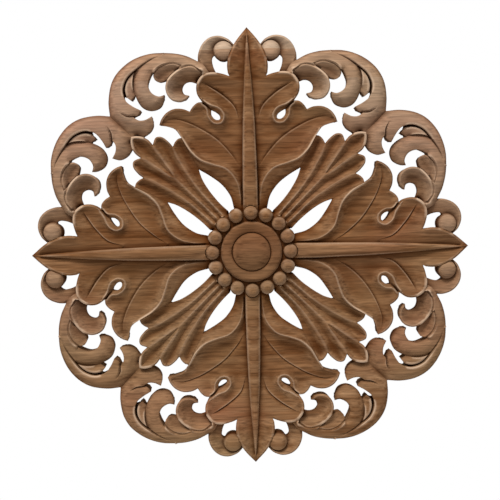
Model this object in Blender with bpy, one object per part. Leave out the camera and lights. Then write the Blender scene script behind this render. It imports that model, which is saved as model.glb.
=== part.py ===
"""A round pierced applique, carved from one flat wooden blank to be fixed to a flat face.

Four spear leaves on ribs, four fans of fluted fingers between them and eight
acanthus scrolls round the rim grow out of a boss with a ring of beads.
The front faces -Y, the flat back lies on y = 0 and the spears point along X and Z.

One eighth is drawn from the upright rib (x = 0) to the diagonal (x = y), in
millimetres, each point as (across, up, height above the back). The forms
overlap as the carver layered them. The eighth is then mirrored three times.
"""

import math

import bmesh
import bpy
import numpy as np
from mathutils import Vector
from mathutils.geometry import delaunay_2d_cdt

# The whole piece, in millimetres
MM = 0.001
REACH = 150.0  # from the centre to a spear's tip
THICKNESS = 20.0  # from the back to the top of the boss
DIAGONAL = math.sqrt(0.5)

# The boss: radius and height of each turn of its profile
BOSS_PROFILE = [(0, THICKNESS), (6, 19.4), (10, 18), (12.6, 16.3), (13.3, 15.6), (15, 17),
                (18.6, 17.4), (20.8, 14.4)]
SEAT_RADIUS = 28.4
SEAT_HEIGHT = 13.8
BOSS_SIDES = 32

# The ring of beads
BEADS = 16
BEAD_RING = 26.3
BEAD_RADIUS = 5.0
BEAD_TOP = 19.2

# The ball in the eye of the small scroll beside each spear
BALL_CENTRE = (15.7, 134.2)
BALL_RADIUS = 6.8
BALL_FOOT = 8.6
BALL_TOP = 12.2

# How finely the carving is cut into facets
CURVE_ERROR = 0.44  # how far a straight edge may leave its curve
HEIGHT_SHARE = 0.35  # how much a height counts in that
LONGEST_EDGE = 13.0
FACET = 9.6  # between the points of the open surfaces
KEEP_OFF = 0.45  # the share of a facet that those points keep from the lines
ROUND_SIDES = 12
CAP_STEPS = 2  # from the pole of a round cap to its foot
STEP_WIDTH = 0.6  # of the sloping step down from a form
SAMPLE = 0.5  # between the points of a smooth curve

# What counts as the same place
TOUCH = 0.002
JOIN = 0.001
FINE_JOIN = 0.00001
WELD = 0.00001  # in metres, over the mirrors
TINY = 1e-9

# How a surface runs between its lines: a higher fall keeps it closer to the nearest one
FALL = 3.0
BAND_FALL = 2.6
RIB_FALL = 2.4
SOFTENING = 0.02

# Unfinished mid-brown wood
WOOD_COLOUR = (0.13, 0.06, 0.025, 1.0)
WOOD_ROUGHNESS = 0.62


def from_diagonal(along, across, height):
    """A point given by its distance along the diagonal and its distance to the left of it."""
    return ((along - across) * DIAGONAL, (along + across) * DIAGONAL, height)


def smooth(points):
    """Close points on the smooth curve through the given ones (a centripetal Catmull-Rom curve)."""
    points = np.array(points, float)
    if len(points) < 3:
        count = max(2, int(np.linalg.norm(points[1] - points[0]) / SAMPLE) + 1)
        return points[0] + np.linspace(0, 1, count)[:, None] * (points[1] - points[0])
    ends = np.vstack([2 * points[0] - points[1], points, 2 * points[-1] - points[-2]])
    pieces = []
    for a, b, c, d in zip(ends, ends[1:], ends[2:], ends[3:]):
        knots = [0.0]
        for p, q in ((a, b), (b, c), (c, d)):
            knots.append(knots[-1] + math.sqrt(np.linalg.norm(q[:2] - p[:2])))
        count = max(2, int(np.linalg.norm(c[:2] - b[:2]) / SAMPLE))
        t = np.linspace(knots[1], knots[2], count, endpoint=False)[:, None]
        ab = (a * (knots[1] - t) + b * (t - knots[0])) / (knots[1] - knots[0])
        bc = (b * (knots[2] - t) + c * (t - knots[1])) / (knots[2] - knots[1])
        cd = (c * (knots[3] - t) + d * (t - knots[2])) / (knots[3] - knots[2])
        abc = (ab * (knots[2] - t) + bc * (t - knots[0])) / (knots[2] - knots[0])
        bcd = (bc * (knots[3] - t) + cd * (t - knots[1])) / (knots[3] - knots[1])
        pieces.append((abc * (knots[2] - t) + bcd * (t - knots[1])) / (knots[2] - knots[1]))
    return np.vstack(pieces + [points[-1:]])


def faceted(curve):
    """The fewest points of a curve whose straight edges stay close to it."""
    start, end = curve[0], curve[-1]
    chord = end - start
    length = np.linalg.norm(chord)
    if len(curve) < 3:
        return curve[[0, -1]]
    along = np.clip((curve - start) @ chord / max(length**2, TINY), 0, 1)
    away = np.linalg.norm((curve - start - along[:, None] * chord) * (1, 1, HEIGHT_SHARE), axis=1)
    if away.max() < CURVE_ERROR and length < LONGEST_EDGE:
        return curve[[0, -1]]
    middle = int(away.argmax()) if away.max() >= CURVE_ERROR else len(curve) // 2
    middle = min(max(middle, 1), len(curve) - 2)
    return np.vstack([faceted(curve[: middle + 1])[:-1], faceted(curve[middle:])])


def circle(centre, radius, sides, turn):
    """The corners of a regular polygon, the first one at the given turn."""
    turns = turn + np.arange(sides) * 2 * math.pi / sides
    return np.column_stack([centre[0] + radius * np.cos(turns), centre[1] + radius * np.sin(turns)])


def inside(points, polygon):
    """Which points lie in a closed polygon."""
    x, y = points[:, 0][:, None], points[:, 1][:, None]
    a, b = polygon[:, :2], np.roll(polygon[:, :2], -1, axis=0)
    rises = (a[:, 1] > y) != (b[:, 1] > y)
    drop = np.where(b[:, 1] == a[:, 1], 1, b[:, 1] - a[:, 1])
    crosses = x < (b[:, 0] - a[:, 0]) * (y - a[:, 1]) / drop + a[:, 0]
    return (rises & crosses).sum(axis=1) % 2 == 1


def distance(points, starts, ends):
    """How far each point is from the nearest of some straight edges."""
    nearest = np.full(len(points), np.inf)
    for a, b in zip(starts[:, :2], ends[:, :2]):
        edge = b - a
        along = np.clip((points - a) @ edge / max(edge @ edge, TINY), 0, 1)
        nearest = np.minimum(nearest, np.linalg.norm(points - a - along[:, None] * edge, axis=1))
    return nearest


class Form:
    """One overlapping form of the carving: its outline, the lines on it and its surface.

    The outline is a list of strokes, each a smooth curve that starts where the last
    one ended, so a corner falls between them. Hidden points close it under its
    neighbours. The surface runs through the heights of the outline and of the lines.
    """

    def __init__(self, strokes, hidden=(), lines=(), hole=(), fall=FALL, stepped=True):
        self.curves = []
        last = None
        for stroke in strokes:
            self.curves.append(smooth(([last] if last else []) + stroke))
            last = stroke[-1]
        self.edge = np.vstack([faceted(curve)[:-1] for curve in self.curves] + [[last]])
        if hidden:
            flat = np.array(hidden, float)
            self.edge = np.vstack([self.edge, np.column_stack([flat, np.zeros(len(flat))])])
        self.lines = [smooth(line) for line in lines]
        self.hole_curves = [smooth(hole)] if hole else []
        self.hole = np.vstack([faceted(c)[:-1] for c in self.hole_curves]) if hole else None
        self.guides = np.vstack(self.curves + self.lines + self.hole_curves)
        self.fall = fall
        self.stepped = stepped
        self.pole = None

    def covers(self, points):
        """Which points the form covers, its own edge taken in."""
        found = inside(points, self.edge)
        found |= distance(points, self.edge, np.roll(self.edge, -1, axis=0)) < TOUCH
        if self.hole is not None:
            near = distance(points, self.hole, np.roll(self.hole, -1, axis=0)) < TOUCH
            found &= ~inside(points, self.hole) | near
        return found

    def height(self, points):
        """Heights that pass smoothly through those of the guides."""
        apart = np.linalg.norm(points[:, None, :] - self.guides[None, :, :2], axis=2)
        weight = 1 / (apart + SOFTENING) ** self.fall
        return (weight * self.guides[:, 2]).sum(axis=1) / weight.sum(axis=1)

    def creases(self):
        """The lines that stay sharp on the surface."""
        return [faceted(line) for line in self.lines]


class Turned(Form):
    """A round form with a profile of radii and heights."""

    def __init__(self, centre, profile, sides, turn=0.0):
        self.centre = np.array(centre, float)
        self.profile = np.array(profile, float)
        self.hole = None
        self.rings = [circle(centre, radius, sides, turn) for radius, _ in profile[1:]]
        self.edge = self.rings[-1]
        self.stepped = False
        self.pole = self.centre

    def height(self, points):
        radius = np.linalg.norm(points - self.centre, axis=1)
        return np.interp(radius, self.profile[:, 0], self.profile[:, 1])

    def creases(self):
        """The rings at the turns of the profile."""
        return [closed(ring) for ring in self.rings[:-1]]


def dome_profile(radius, foot, top):
    """A round cap, as radii and heights from its pole to its foot."""
    steps = [math.radians(90 * i / CAP_STEPS) for i in range(CAP_STEPS + 1)]
    return [(radius * math.sin(a), foot + (top - foot) * math.cos(a)) for a in steps]


def small_scroll():
    """The stem beside each spear, hollowed towards the ball that it curls round."""
    return Form(
        [[(33, 127.4, 8.6), (32.7, 132, 10), (30.2, 138.2, 10.6), (25.4, 142.6, 10.6), (19, 144, 10.4),
          (12.6, 142, 9.8), (8.6, 138.2, 9.2)]],
        hidden=[(7, 133), (14, 131), (20, 133.6)],
        lines=[[(14, 141, 9), (17.5, 140.9, 8), (21.2, 138.6, 7.6), (22.9, 135, 7.6), (22.4, 131.9, 7.8)]],
        stepped=False,
    )


def small_scroll_root():
    """The foot of that stem, down to the shoulder of the leaf."""
    return Form(
        [[(21.8, 131.9, 7.8), (23.4, 129.4, 8), (22.9, 124.5, 8), (20.7, 119.4, 8.2)]],
        hidden=[(24, 117), (30, 117.5), (33, 122), (33, 127.4), (32.4, 131), (26, 134)],
        lines=[[(31, 129, 10.4), (28, 123, 9.4)]],
        stepped=False,
    )


def sliver():
    """The narrow leaf between the two bands, low beside the inner one."""
    return Form(
        [[(72, 123.4, 10.4), (79.5, 120, 12.6), (84.5, 112, 13), (83.4, 106.2, 12.8), (81, 104.2, 12.4),
          (78, 102.4, 11.4)],
         [(76.2, 104.6, 10.2), (74, 107.4, 10)]],
        hidden=[(73, 114)],
        lines=[[(75.6, 106, 10.1), (75.8, 111, 10), (74.4, 117.4, 10), (71.8, 122.4, 10.4)]],
        stepped=False,
    )


def inner_band():
    """The rounded band from the scroll's root to its curled end."""
    return Form(
        [[(26, 120.4, 10.2), (29, 125, 10.4), (32.8, 127.6, 9)],
         [(40, 131, 9.8), (48, 133, 9.8), (56, 133.6, 10)],
         [(66, 130.6, 10.4), (73, 124.5, 10.6), (76, 117.5, 10.6), (76.2, 109.5, 10.4),
          (73.4, 101.2, 9.4), (69.9, 97.2, 8.8), (64.4, 95.6, 8.2), (58.6, 97.8, 8), (55.9, 102.6, 8.4),
          (55.6, 106.2, 9)],
         [(59.5, 105.1, 10.6), (64.2, 107.4, 11.6), (66.1, 112.4, 12), (63.2, 118.6, 12)]],
        hidden=[(60, 118), (54, 122), (42, 121), (32, 119), (28, 118)],
        lines=[[(30, 124, 11.6), (42, 127, 12.6), (56, 127.8, 13.2), (64.5, 124.2, 13.2),
                (68.6, 117.5, 13.2), (69.6, 110.5, 13.2), (67.4, 104.4, 12.6), (61.6, 102.2, 11.4)]],
        fall=BAND_FALL,
        stepped=False,
    )


def scoop():
    """The short hollow leaf under the band."""
    return Form(
        [[(44, 124.4, 12.2), (50, 125.8, 12.4), (56.4, 124.4, 12.4), (61.4, 120.6, 12), (63.2, 116.4, 11)],
         [(61.4, 113.4, 9.6), (57, 113.6, 8.6), (53.8, 114.6, 8)]],
        hidden=[(49, 118)],
        lines=[[(50.5, 121.8, 9.4), (55.6, 119.2, 8.6), (58.4, 116.2, 8.4)]],
        stepped=False,
    )


def hook():
    """The hollow leaf that hooks back over the opening, its outer rim high."""
    return Form(
        [[(30.4, 120.8, 10.6), (36, 124.1, 12.2), (41, 124.2, 12.4), (47.6, 121.3, 12.4),
          (53.4, 115.6, 12.4), (55.1, 110, 12), (53.8, 105, 11.4), (50.2, 101.8, 10.8), (45.4, 101.1, 10),
          (41.4, 102.8, 9), (39.3, 105.4, 8)],
         [(42.8, 106.6, 6.6), (43.9, 109.6, 6.2), (42.2, 113.2, 6.2), (38.4, 114.5, 6.4), (34, 113.2, 7)]],
        hidden=[(30, 115)],
        lines=[[(36, 118.6, 8.6), (42.6, 118, 8), (48.4, 113.4, 8), (49.6, 108.4, 8), (46, 105, 8)]],
        stepped=False,
    )


def outer_band():
    """The broad band round the rim, rounded down outwards, with two lobes at its inner end."""
    return Form(
        [[(70.4, 78.2, 9), (65.6, 81.7, 9.2), (63.3, 86.6, 9.8), (64.6, 92, 10.4)],
         [(69, 89.6, 11.6), (73, 89.3, 12.2), (76.6, 91.3, 11.4)],
         [(73.6, 92.8, 11.8), (71.6, 95.8, 11.2)],
         [(77, 98.6, 12.8), (81.2, 102.2, 13.2), (83.2, 109, 13.4), (80.4, 116.8, 13.4),
          (73.4, 123.2, 13.2), (65, 128.6, 12.6), (56.6, 131.4, 11)],
         [(55, 133.7, 10.2)],
         [(64, 133.2, 10.2), (72, 131.1, 10.2), (80, 127, 10.2), (87, 120.6, 10.2),
          (91.4, 112.6, 10.2), (93.2, 102, 10.2), (92.7, 92.7, 9.6)]],
        hidden=[(93.5, 91.5), (78, 76), (72, 76.4)],
        lines=[
            [(92.7, 92.7, 9.4), (86, 86, 9.8), (79, 79, 9.8)],
            [(74.4, 96, 12), (80, 97.6, 13.4), (85.6, 103, 13.4), (86.4, 111, 13.2), (82, 119.6, 13.2)],
            [(76.6, 91.3, 10.8), (80.6, 91.6, 11.2), (85, 93.5, 12)],
            [(66, 89, 11), (71, 86.6, 12), (77, 87, 12.4), (83, 90, 12.4)]],
        fall=BAND_FALL,
    )


def leaf_to_fan():
    """The crease where the leaf's folded side meets the outer finger."""
    return [(45.2, 77.4, 12.2), (42.2, 70.6, 10.6), (38.4, 63.6, 9.8), (34.4, 56, 9.2)]


def fan():
    """The fluted fingers: a ridge that parts round the hollow middle finger, one beside it, and flutes."""
    stalk = [(30, 0, 14), (42, 0, 13.2), (58, 0, 12.6), (69, 0, 12.4)]
    finger_side = [(69, 0, 12.4), (79, 1.9, 12.5), (86, 3.2, 12.6), (93, 4.6, 12.6), (97.2, 6, 12.2)]
    ridge = [(30, 4.2, 13.8), (52, 5.2, 12.5), (64, 7.1, 12.2), (73, 9.2, 12), (82, 11.9, 11.8),
             (86.9, 14.5, 11.4)]
    finger_hollow = [(76, 0, 11.6), (88, 0, 10), (97, 0, 9.4), (104, 0, 9.6)]
    inner_flute = [(30, 2.1, 12.2), (54, 2.8, 10.8), (64, 3.8, 10.2), (76, 5.9, 9.4), (88, 9.1, 9),
                   (94, 10.8, 9.4)]
    outer_flute = [(30, 6.2, 12), (49, 7.5, 10.6), (61, 10.4, 9.8), (73, 14, 9), (83, 18.4, 9)]
    return Form(
        [[(15.2, 27.7, 12), (21, 33.4, 11.4), (28, 42.4, 10.6), (32.4, 50, 10), (34.4, 56, 9.2)],
         leaf_to_fan()[-2::-1],
         [(47.6, 76.8, 11.2), (49.8, 74.6, 11), (51.2, 71.7, 11.2)],
         [(53.8, 74.8, 11.2), (58.6, 78.2, 11.2), (62.4, 77.8, 11.4), (64.5, 73, 12)],
         [(67.2, 76.2, 12.4), (71, 78.3, 12.6), (75, 79, 12.6), (78.6, 78.6, 12.4)]],
        hidden=[(80, 77), (17, 17), (14, 24)],
        lines=[[from_diagonal(*p) for p in line]
               for line in (stalk, finger_side, ridge, finger_hollow, inner_flute, outer_flute)],
    )


def leaf():
    """The big acanthus leaf: spear tip, shoulder, eye, small lobe, pointed lobe and folded side."""
    fold = [(6.6, 29, 12), (6.9, 40, 12.8), (9.6, 49, 13.6), (16, 56.1, 14.2), (25, 59.3, 14.2),
            (33, 62.5, 14.2), (39.6, 68.6, 14), (44, 75.6, 13.6), (47.4, 81.6, 13)]
    first_vein = [(6.2, 57, 11), (11, 64.8, 9.8), (20, 75, 9.2), (30, 82.2, 9), (42, 88, 9.4),
                  (50, 89.8, 10), (56.5, 88.6, 11)]
    second_vein = [(5.6, 87, 10.2), (9, 97.4, 9.4), (17, 105.4, 9), (25, 110.7, 9.6), (30, 113.4, 11)]
    eye_rim = [(30.6, 102, 11.6), (26, 98.9, 11.8), (19.6, 96.4, 11.8), (16.3, 91.6, 11.8),
               (18, 87, 11.6), (23, 86.8, 11.4), (26.8, 91.5, 11.2), (27.6, 96.6, 11.2),
               (31.4, 100.2, 11.4)]
    slit = [(24.8, 95.3, 10.2), (27.6, 98.4, 8.8), (30.5, 100.9, 8.8)]
    hollow = [(32.4, 97.4, 10), (30.8, 92, 9.2), (30.6, 85.4, 9)]
    beside_rib = [(5.4, 32, 11.6), (5.6, 50, 12), (5.3, 80, 11), (3.6, 105, 10.4), (2.2, 128, 10.2),
                  (0.7, 143, 8.6)]
    blade = [(5.6, 78, 11), (10, 85, 10.8), (15, 88.6, 11.2)]
    return Form(
        [[(0, REACH, 7), (8.3, 139, 11.2), (12.3, 130.6, 12.6), (13.6, 124, 12.8), (13.2, 119.2, 12)],
         [(12.3, 117.4, 11)],
         [(16.4, 118.8, 12.4), (24, 119.9, 13.2), (30.2, 118, 13.2), (34, 112.4, 12.8),
          (34, 106, 12.2), (30.8, 100.8, 11.2)],
         [(34.2, 100.3, 11.8), (37.2, 97.8, 11.6), (39.3, 94.8, 11)],
         [(43.5, 96.4, 11.8), (49.6, 96.4, 12.4), (54.8, 93.8, 12.8), (58.2, 89.6, 12.6), (59.6, 86, 12)],
         [(54.2, 84.8, 12.6), (49.2, 82.8, 13), (45.2, 77.4, 12.8)],
         leaf_to_fan()[1:],
         [(26.6, 51.4, 9.6), (19, 45.6, 9.6), (13.4, 37.4, 9.6), (11.3, 29.4, 9.8)]],
        hidden=[(9, 22), (0, 22)],
        lines=[fold, first_vein, second_vein, eye_rim, slit, hollow, beside_rib, blade],
        hole=[(24.8, 95.3, 10.6), (24.6, 91.9, 10.6), (21.9, 89, 10.6), (19.2, 89.2, 10.6),
              (19.3, 91.4, 10.6), (21.8, 93.7, 10.6), (24.8, 95.3, 10.6)],
    )


def rib():
    """The round-topped rib that runs up the middle of the leaf to its tip."""
    top = [(0, 24, 16.6), (0, 50, 17), (0, 80, 15.8), (0, 100, 14.4), (0, 120, 12.6), (0, 136, 10.8),
           (0, 149, 8)]
    return Form(
        [[(5, 24, 14.8), (4.8, 50, 15.2), (4.1, 82, 14.2), (3.2, 103, 12.8), (1.8, 126, 11.2),
          (0.7, 141, 9.2), (0, 149, 7.4)]],
        hidden=[(0, 24)],
        lines=[top],
        fall=RIB_FALL,
    )


def boss():
    """The low dome in the middle, with a dished ring round it."""
    return Turned((0, 0), BOSS_PROFILE, BOSS_SIDES)


def seat():
    """The flat round seat that the beads stand on."""
    return Turned((0, 0), [(0, SEAT_HEIGHT), (SEAT_RADIUS, SEAT_HEIGHT)], BOSS_SIDES)


def beads():
    """The beads of one eighth, one on the rib, one beside it and one on the diagonal."""
    found = []
    for i in range(3):
        turn = math.radians(90 - i * 360 / BEADS)
        centre = (BEAD_RING * math.cos(turn), BEAD_RING * math.sin(turn))
        found.append(Turned(centre, dome_profile(BEAD_RADIUS, SEAT_HEIGHT, BEAD_TOP), ROUND_SIDES, turn))
    return found


def ball():
    """The ball that the small scroll curls round."""
    return Turned(BALL_CENTRE, dome_profile(BALL_RADIUS, BALL_FOOT, BALL_TOP), ROUND_SIDES)


def carved_forms():
    """Every form of one eighth, from the lowest layer to the top one."""
    return [small_scroll_root(), small_scroll(), ball(), sliver(), inner_band(), scoop(), hook(),
            outer_band(), fan(), leaf(), rib(), seat(), boss()] + beads()


def covered(points, forms):
    """Which points lie on any of the forms."""
    found = np.zeros(len(points), bool)
    for form in forms:
        found |= form.covers(points)
    return found


def carved_height(points, forms):
    """The height of the topmost form at each point."""
    height = np.zeros(len(points))
    for form in forms:
        on = form.covers(points)
        if on.any():
            height[on] = form.height(points[on])
    return height


def crossings(a, b, polygon):
    """Where, as shares of the way from a to b, an edge crosses a polygon."""
    c, d = polygon[:, :2], np.roll(polygon[:, :2], -1, axis=0)
    edge, side = b - a, d - c
    turn = edge[0] * side[:, 1] - edge[1] * side[:, 0]
    safe = np.where(np.abs(turn) < TINY, 1, turn)
    gap = c - a
    along = (gap[:, 0] * side[:, 1] - gap[:, 1] * side[:, 0]) / safe
    across = (gap[:, 0] * edge[1] - gap[:, 1] * edge[0]) / safe
    met = (np.abs(turn) >= TINY) & (along > 0) & (along < 1) & (across >= 0) & (across <= 1)
    return along[met]


def pieces_of(line, cutters, keep):
    """The stretches of a line that are kept once it is cut wherever it crosses the cutters."""
    found = []
    for a, b in zip(line[:-1, :2], line[1:, :2]):
        if np.linalg.norm(b - a) < TOUCH:
            continue
        low, high = np.minimum(a, b), np.maximum(a, b)
        near = [p for p in cutters
                if (p[:, :2].max(axis=0) >= low).all() and (p[:, :2].min(axis=0) <= high).all()]
        cuts = [0.0, 1.0] + [t for p in near for t in crossings(a, b, p)]
        cuts = np.unique(np.round(cuts, 9))
        ends = a + cuts[:, None] * (b - a)
        kept = keep((ends[:-1] + ends[1:]) / 2)
        found += [(p, q) for p, q, k in zip(ends, ends[1:], kept) if k]
    return found


def closed(polygon):
    """The polygon with its first point again at its end."""
    return np.vstack([polygon, polygon[:1]])


def foot_of(polygon):
    """The line along the foot of the step down from a form, just outside its edge."""
    points = polygon[:, :2]
    before, after = points - np.roll(points, 1, axis=0), np.roll(points, -1, axis=0) - points
    area = np.sum(points[:, 0] * np.roll(points[:, 1], -1) - np.roll(points[:, 0], -1) * points[:, 1])
    side = 1 if area > 0 else -1
    normals = []
    for edge in (before, after):
        length = np.maximum(np.linalg.norm(edge, axis=1), TINY)[:, None]
        normals.append(side * np.column_stack([edge[:, 1], -edge[:, 0]]) / length)
    mitre = normals[0] + normals[1]
    mitre /= np.maximum((mitre * normals[0]).sum(axis=1), 0.5)[:, None]
    return points + STEP_WIDTH * mitre


def drawn_lines(forms):
    """The edges, creases and step feet that show from the front, as straight stretches."""
    stretches = []
    for level, form in enumerate(forms):
        above, below = forms[level + 1:], forms[:level]
        edges = [form.edge] + ([form.hole] if form.hole is not None else [])
        over = [p for f in above for p in ([f.edge] if f.hole is None else [f.edge, f.hole])]
        under = [f.edge for f in below]

        def shows(points):
            return ~covered(points, above)

        def shows_on_form(points, form=form):
            return shows(points) & form.covers(points)

        def shows_below(points, form=form):
            return shows(points) & ~form.covers(points) & covered(points, below)

        for edge in edges:
            stretches += pieces_of(closed(edge), over, shows)
        for crease in form.creases():
            stretches += pieces_of(crease, over + edges, shows_on_form)
        if form.stepped:
            stretches += pieces_of(closed(foot_of(form.edge)), over + under + edges, shows_below)
    return stretches


def in_eighth(points, slack=TOUCH):
    """Which points lie between the rib and the diagonal, a slack beyond them taken in."""
    return (points[:, 0] > -slack) & (points[:, 1] > points[:, 0] - slack)


def filling(forms, starts, ends):
    """Points on a triangular grid, kept off the drawn lines."""
    rows = np.arange(0, REACH, FACET * math.sqrt(0.75))
    points = np.array([(x + (i % 2) * FACET / 2, y) for i, y in enumerate(rows)
                       for x in np.arange(0, REACH * DIAGONAL, FACET)])
    points = points[in_eighth(points, -FACET * KEEP_OFF) & covered(points, forms)]
    points = points[distance(points, starts, ends) > FACET * KEEP_OFF]
    poles = [form.pole for form in forms if form.pole is not None and form.pole.any()]
    return np.vstack([points, poles])


def eighth_of_front(forms):
    """Vertices and triangles of one eighth of the carved front, seen flat."""
    stretches = drawn_lines(forms)
    centre = np.zeros(2)
    stretches += [(centre, np.array([0.0, REACH])), (centre, np.full(2, REACH * DIAGONAL))]
    starts, ends = (np.array(side) for side in zip(*stretches))
    loose = filling(forms, starts, ends)
    points = [Vector(p) for p in np.vstack([starts, ends, loose])]
    edges = [(i, i + len(starts)) for i in range(len(starts))]
    found = delaunay_2d_cdt(points, edges, [], 0, JOIN)
    flat = np.array([tuple(p) for p in found[0]])
    faces = np.array([tuple(f) for f in found[2]])
    middles = flat[faces].mean(axis=1)
    kept = faces[in_eighth(middles, 0) & covered(middles, forms)]
    return flat, kept


def walls(faces, flat):
    """The edges round the openings and the rim, each running with the carving on its left."""
    sides = np.vstack([faces[:, [0, 1]], faces[:, [1, 2]], faces[:, [2, 0]]])
    known = {(int(a), int(b)) for a, b in sides}
    on_rib = np.abs(flat[:, 0]) < TOUCH
    on_diagonal = np.abs(flat[:, 1] - flat[:, 0]) < TOUCH
    return [(a, b) for a, b in sorted(known) if (b, a) not in known
            and not (on_rib[a] and on_rib[b]) and not (on_diagonal[a] and on_diagonal[b])]


def flat_back(flat, rim, forms):
    """Triangles of the flat back, between the rim's own points and the centre."""
    used = sorted({i for edge in rim for i in edge})
    centre = int(np.argmin(np.linalg.norm(flat, axis=1)))
    used += [centre]
    place = {old: new for new, old in enumerate(used)}
    edges = [(place[a], place[b]) for a, b in rim]
    for line in (np.abs(flat[:, 0]) < TOUCH, np.abs(flat[:, 1] - flat[:, 0]) < TOUCH):
        along = sorted((i for i in used if line[i]), key=lambda i: flat[i, 1])
        edges += [(place[a], place[b]) for a, b in zip(along, along[1:])]
    found = delaunay_2d_cdt([Vector(flat[i]) for i in used], edges, [], 0, FINE_JOIN)
    points = np.array([tuple(p) for p in found[0]])
    faces = np.array([tuple(f) for f in found[2]])
    middles = points[faces].mean(axis=1)
    faces = faces[in_eighth(middles, 0) & covered(middles, forms)]
    return [[used[found[3][i][0]] for i in face] for face in faces]


def eighth_of_piece():
    """Vertices, in metres, and faces of one eighth, open only where it meets its mirror images."""
    forms = carved_forms()
    flat, faces = eighth_of_front(forms)
    used, faces = np.unique(faces, return_inverse=True)
    flat, faces = flat[used], faces.reshape(-1, 3)
    flat[np.abs(flat[:, 0]) < TOUCH, 0] = 0
    near = np.abs(flat[:, 1] - flat[:, 0]) < TOUCH
    flat[near] = flat[near].mean(axis=1)[:, None]
    height = carved_height(flat, forms)
    rim = walls(faces, flat)
    back = flat_back(flat, rim, forms)
    count = len(flat)
    front = np.column_stack([flat[:, 0], -height, flat[:, 1]])
    behind = np.column_stack([flat[:, 0], np.zeros(count), flat[:, 1]])
    shell = [tuple(int(i) for i in face) for face in faces]
    shell += [(int(a), int(a) + count, int(b) + count, int(b)) for a, b in rim]
    shell += [tuple(int(i) + count for i in reversed(face)) for face in back]
    return np.vstack([front, behind]) * MM, shell


def wood():
    """The wood, plain and unpolished."""
    material = bpy.data.materials.new("carved_wood")
    material.use_nodes = True
    shader = material.node_tree.nodes["Principled BSDF"]
    shader.inputs["Base Color"].default_value = WOOD_COLOUR
    shader.inputs["Roughness"].default_value = WOOD_ROUGHNESS
    shader.inputs["Metallic"].default_value = 0.0
    return material


def mirrored(piece, name, guide=None, across_z=False):
    """Adds the mirror image over the guide's plane, or over the upright or the level one."""
    modifier = piece.modifiers.new(name, "MIRROR")
    modifier.mirror_object = guide
    modifier.use_axis = (not across_z, False, across_z)
    modifier.use_mirror_merge = True
    modifier.merge_threshold = WELD


def rosette():
    """The whole piece: the eighth, mirrored over the diagonal, then across and then down."""
    vertices, faces = eighth_of_piece()
    mesh = bpy.data.meshes.new("rosette")
    shape = bmesh.new()
    made = [shape.verts.new(v) for v in vertices]
    for face in faces:
        shape.faces.new([made[i] for i in face])
    bmesh.ops.delete(shape, geom=[v for v in made if not v.link_faces], context="VERTS")
    bmesh.ops.triangulate(shape, faces=shape.faces)
    shape.to_mesh(mesh)
    shape.free()
    mesh.materials.append(wood())
    piece = bpy.data.objects.new("rosette", mesh)
    bpy.context.scene.collection.objects.link(piece)
    diagonal = bpy.data.objects.new("diagonal", None)
    diagonal.rotation_euler = (0, math.radians(45), 0)
    bpy.context.scene.collection.objects.link(diagonal)
    bpy.context.view_layer.update()
    mirrored(piece, "over the diagonal", guide=diagonal)
    mirrored(piece, "across")
    mirrored(piece, "down", across_z=True)
    return piece


for thing in list(bpy.data.objects):
    bpy.data.objects.remove(thing)
rosette()
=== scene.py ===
import math

import bpy
import numpy as np
from mathutils import Matrix, Vector, noise
from mathutils.geometry import delaunay_2d_cdt
from mathutils.kdtree import KDTree


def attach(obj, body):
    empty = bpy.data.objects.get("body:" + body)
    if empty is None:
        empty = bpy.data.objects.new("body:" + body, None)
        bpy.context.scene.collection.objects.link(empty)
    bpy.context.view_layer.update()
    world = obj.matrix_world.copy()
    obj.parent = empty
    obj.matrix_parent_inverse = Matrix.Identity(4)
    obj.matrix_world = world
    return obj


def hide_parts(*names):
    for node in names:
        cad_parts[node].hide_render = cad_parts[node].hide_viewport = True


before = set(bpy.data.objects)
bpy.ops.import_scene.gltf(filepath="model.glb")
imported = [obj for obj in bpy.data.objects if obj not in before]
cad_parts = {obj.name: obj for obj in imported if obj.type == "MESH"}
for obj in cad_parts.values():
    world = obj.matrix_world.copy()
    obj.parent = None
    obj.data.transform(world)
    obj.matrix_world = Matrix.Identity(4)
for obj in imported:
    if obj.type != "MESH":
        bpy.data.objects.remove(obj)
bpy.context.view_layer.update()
bpy.ops.object.select_all(action="DESELECT")

# The rosette is carved from one round wooden blank. One eighth of it, from the upright
# rib (x = 0) to the diagonal (x = y), is drawn form by form, from the lowest layer to the
# top one, in millimetres: (across, up, height above the back). It is mirrored three times.
carving = []

# The stem beside each spear leaf: a narrow gouged stem that curls round a ball, with a
# thin sanded rim on its outer side and its hollow running down beside the opening. Its
# lines, like all others, are smooth curves with evenly spaced points.
POINT_GAP = 0.95
TRACE_STEPS = 8
TOUCH = 0.004
MARGIN = 1.0
NEVER_ZERO = 1e-12
POINTS_AT_ONCE = 500


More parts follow.
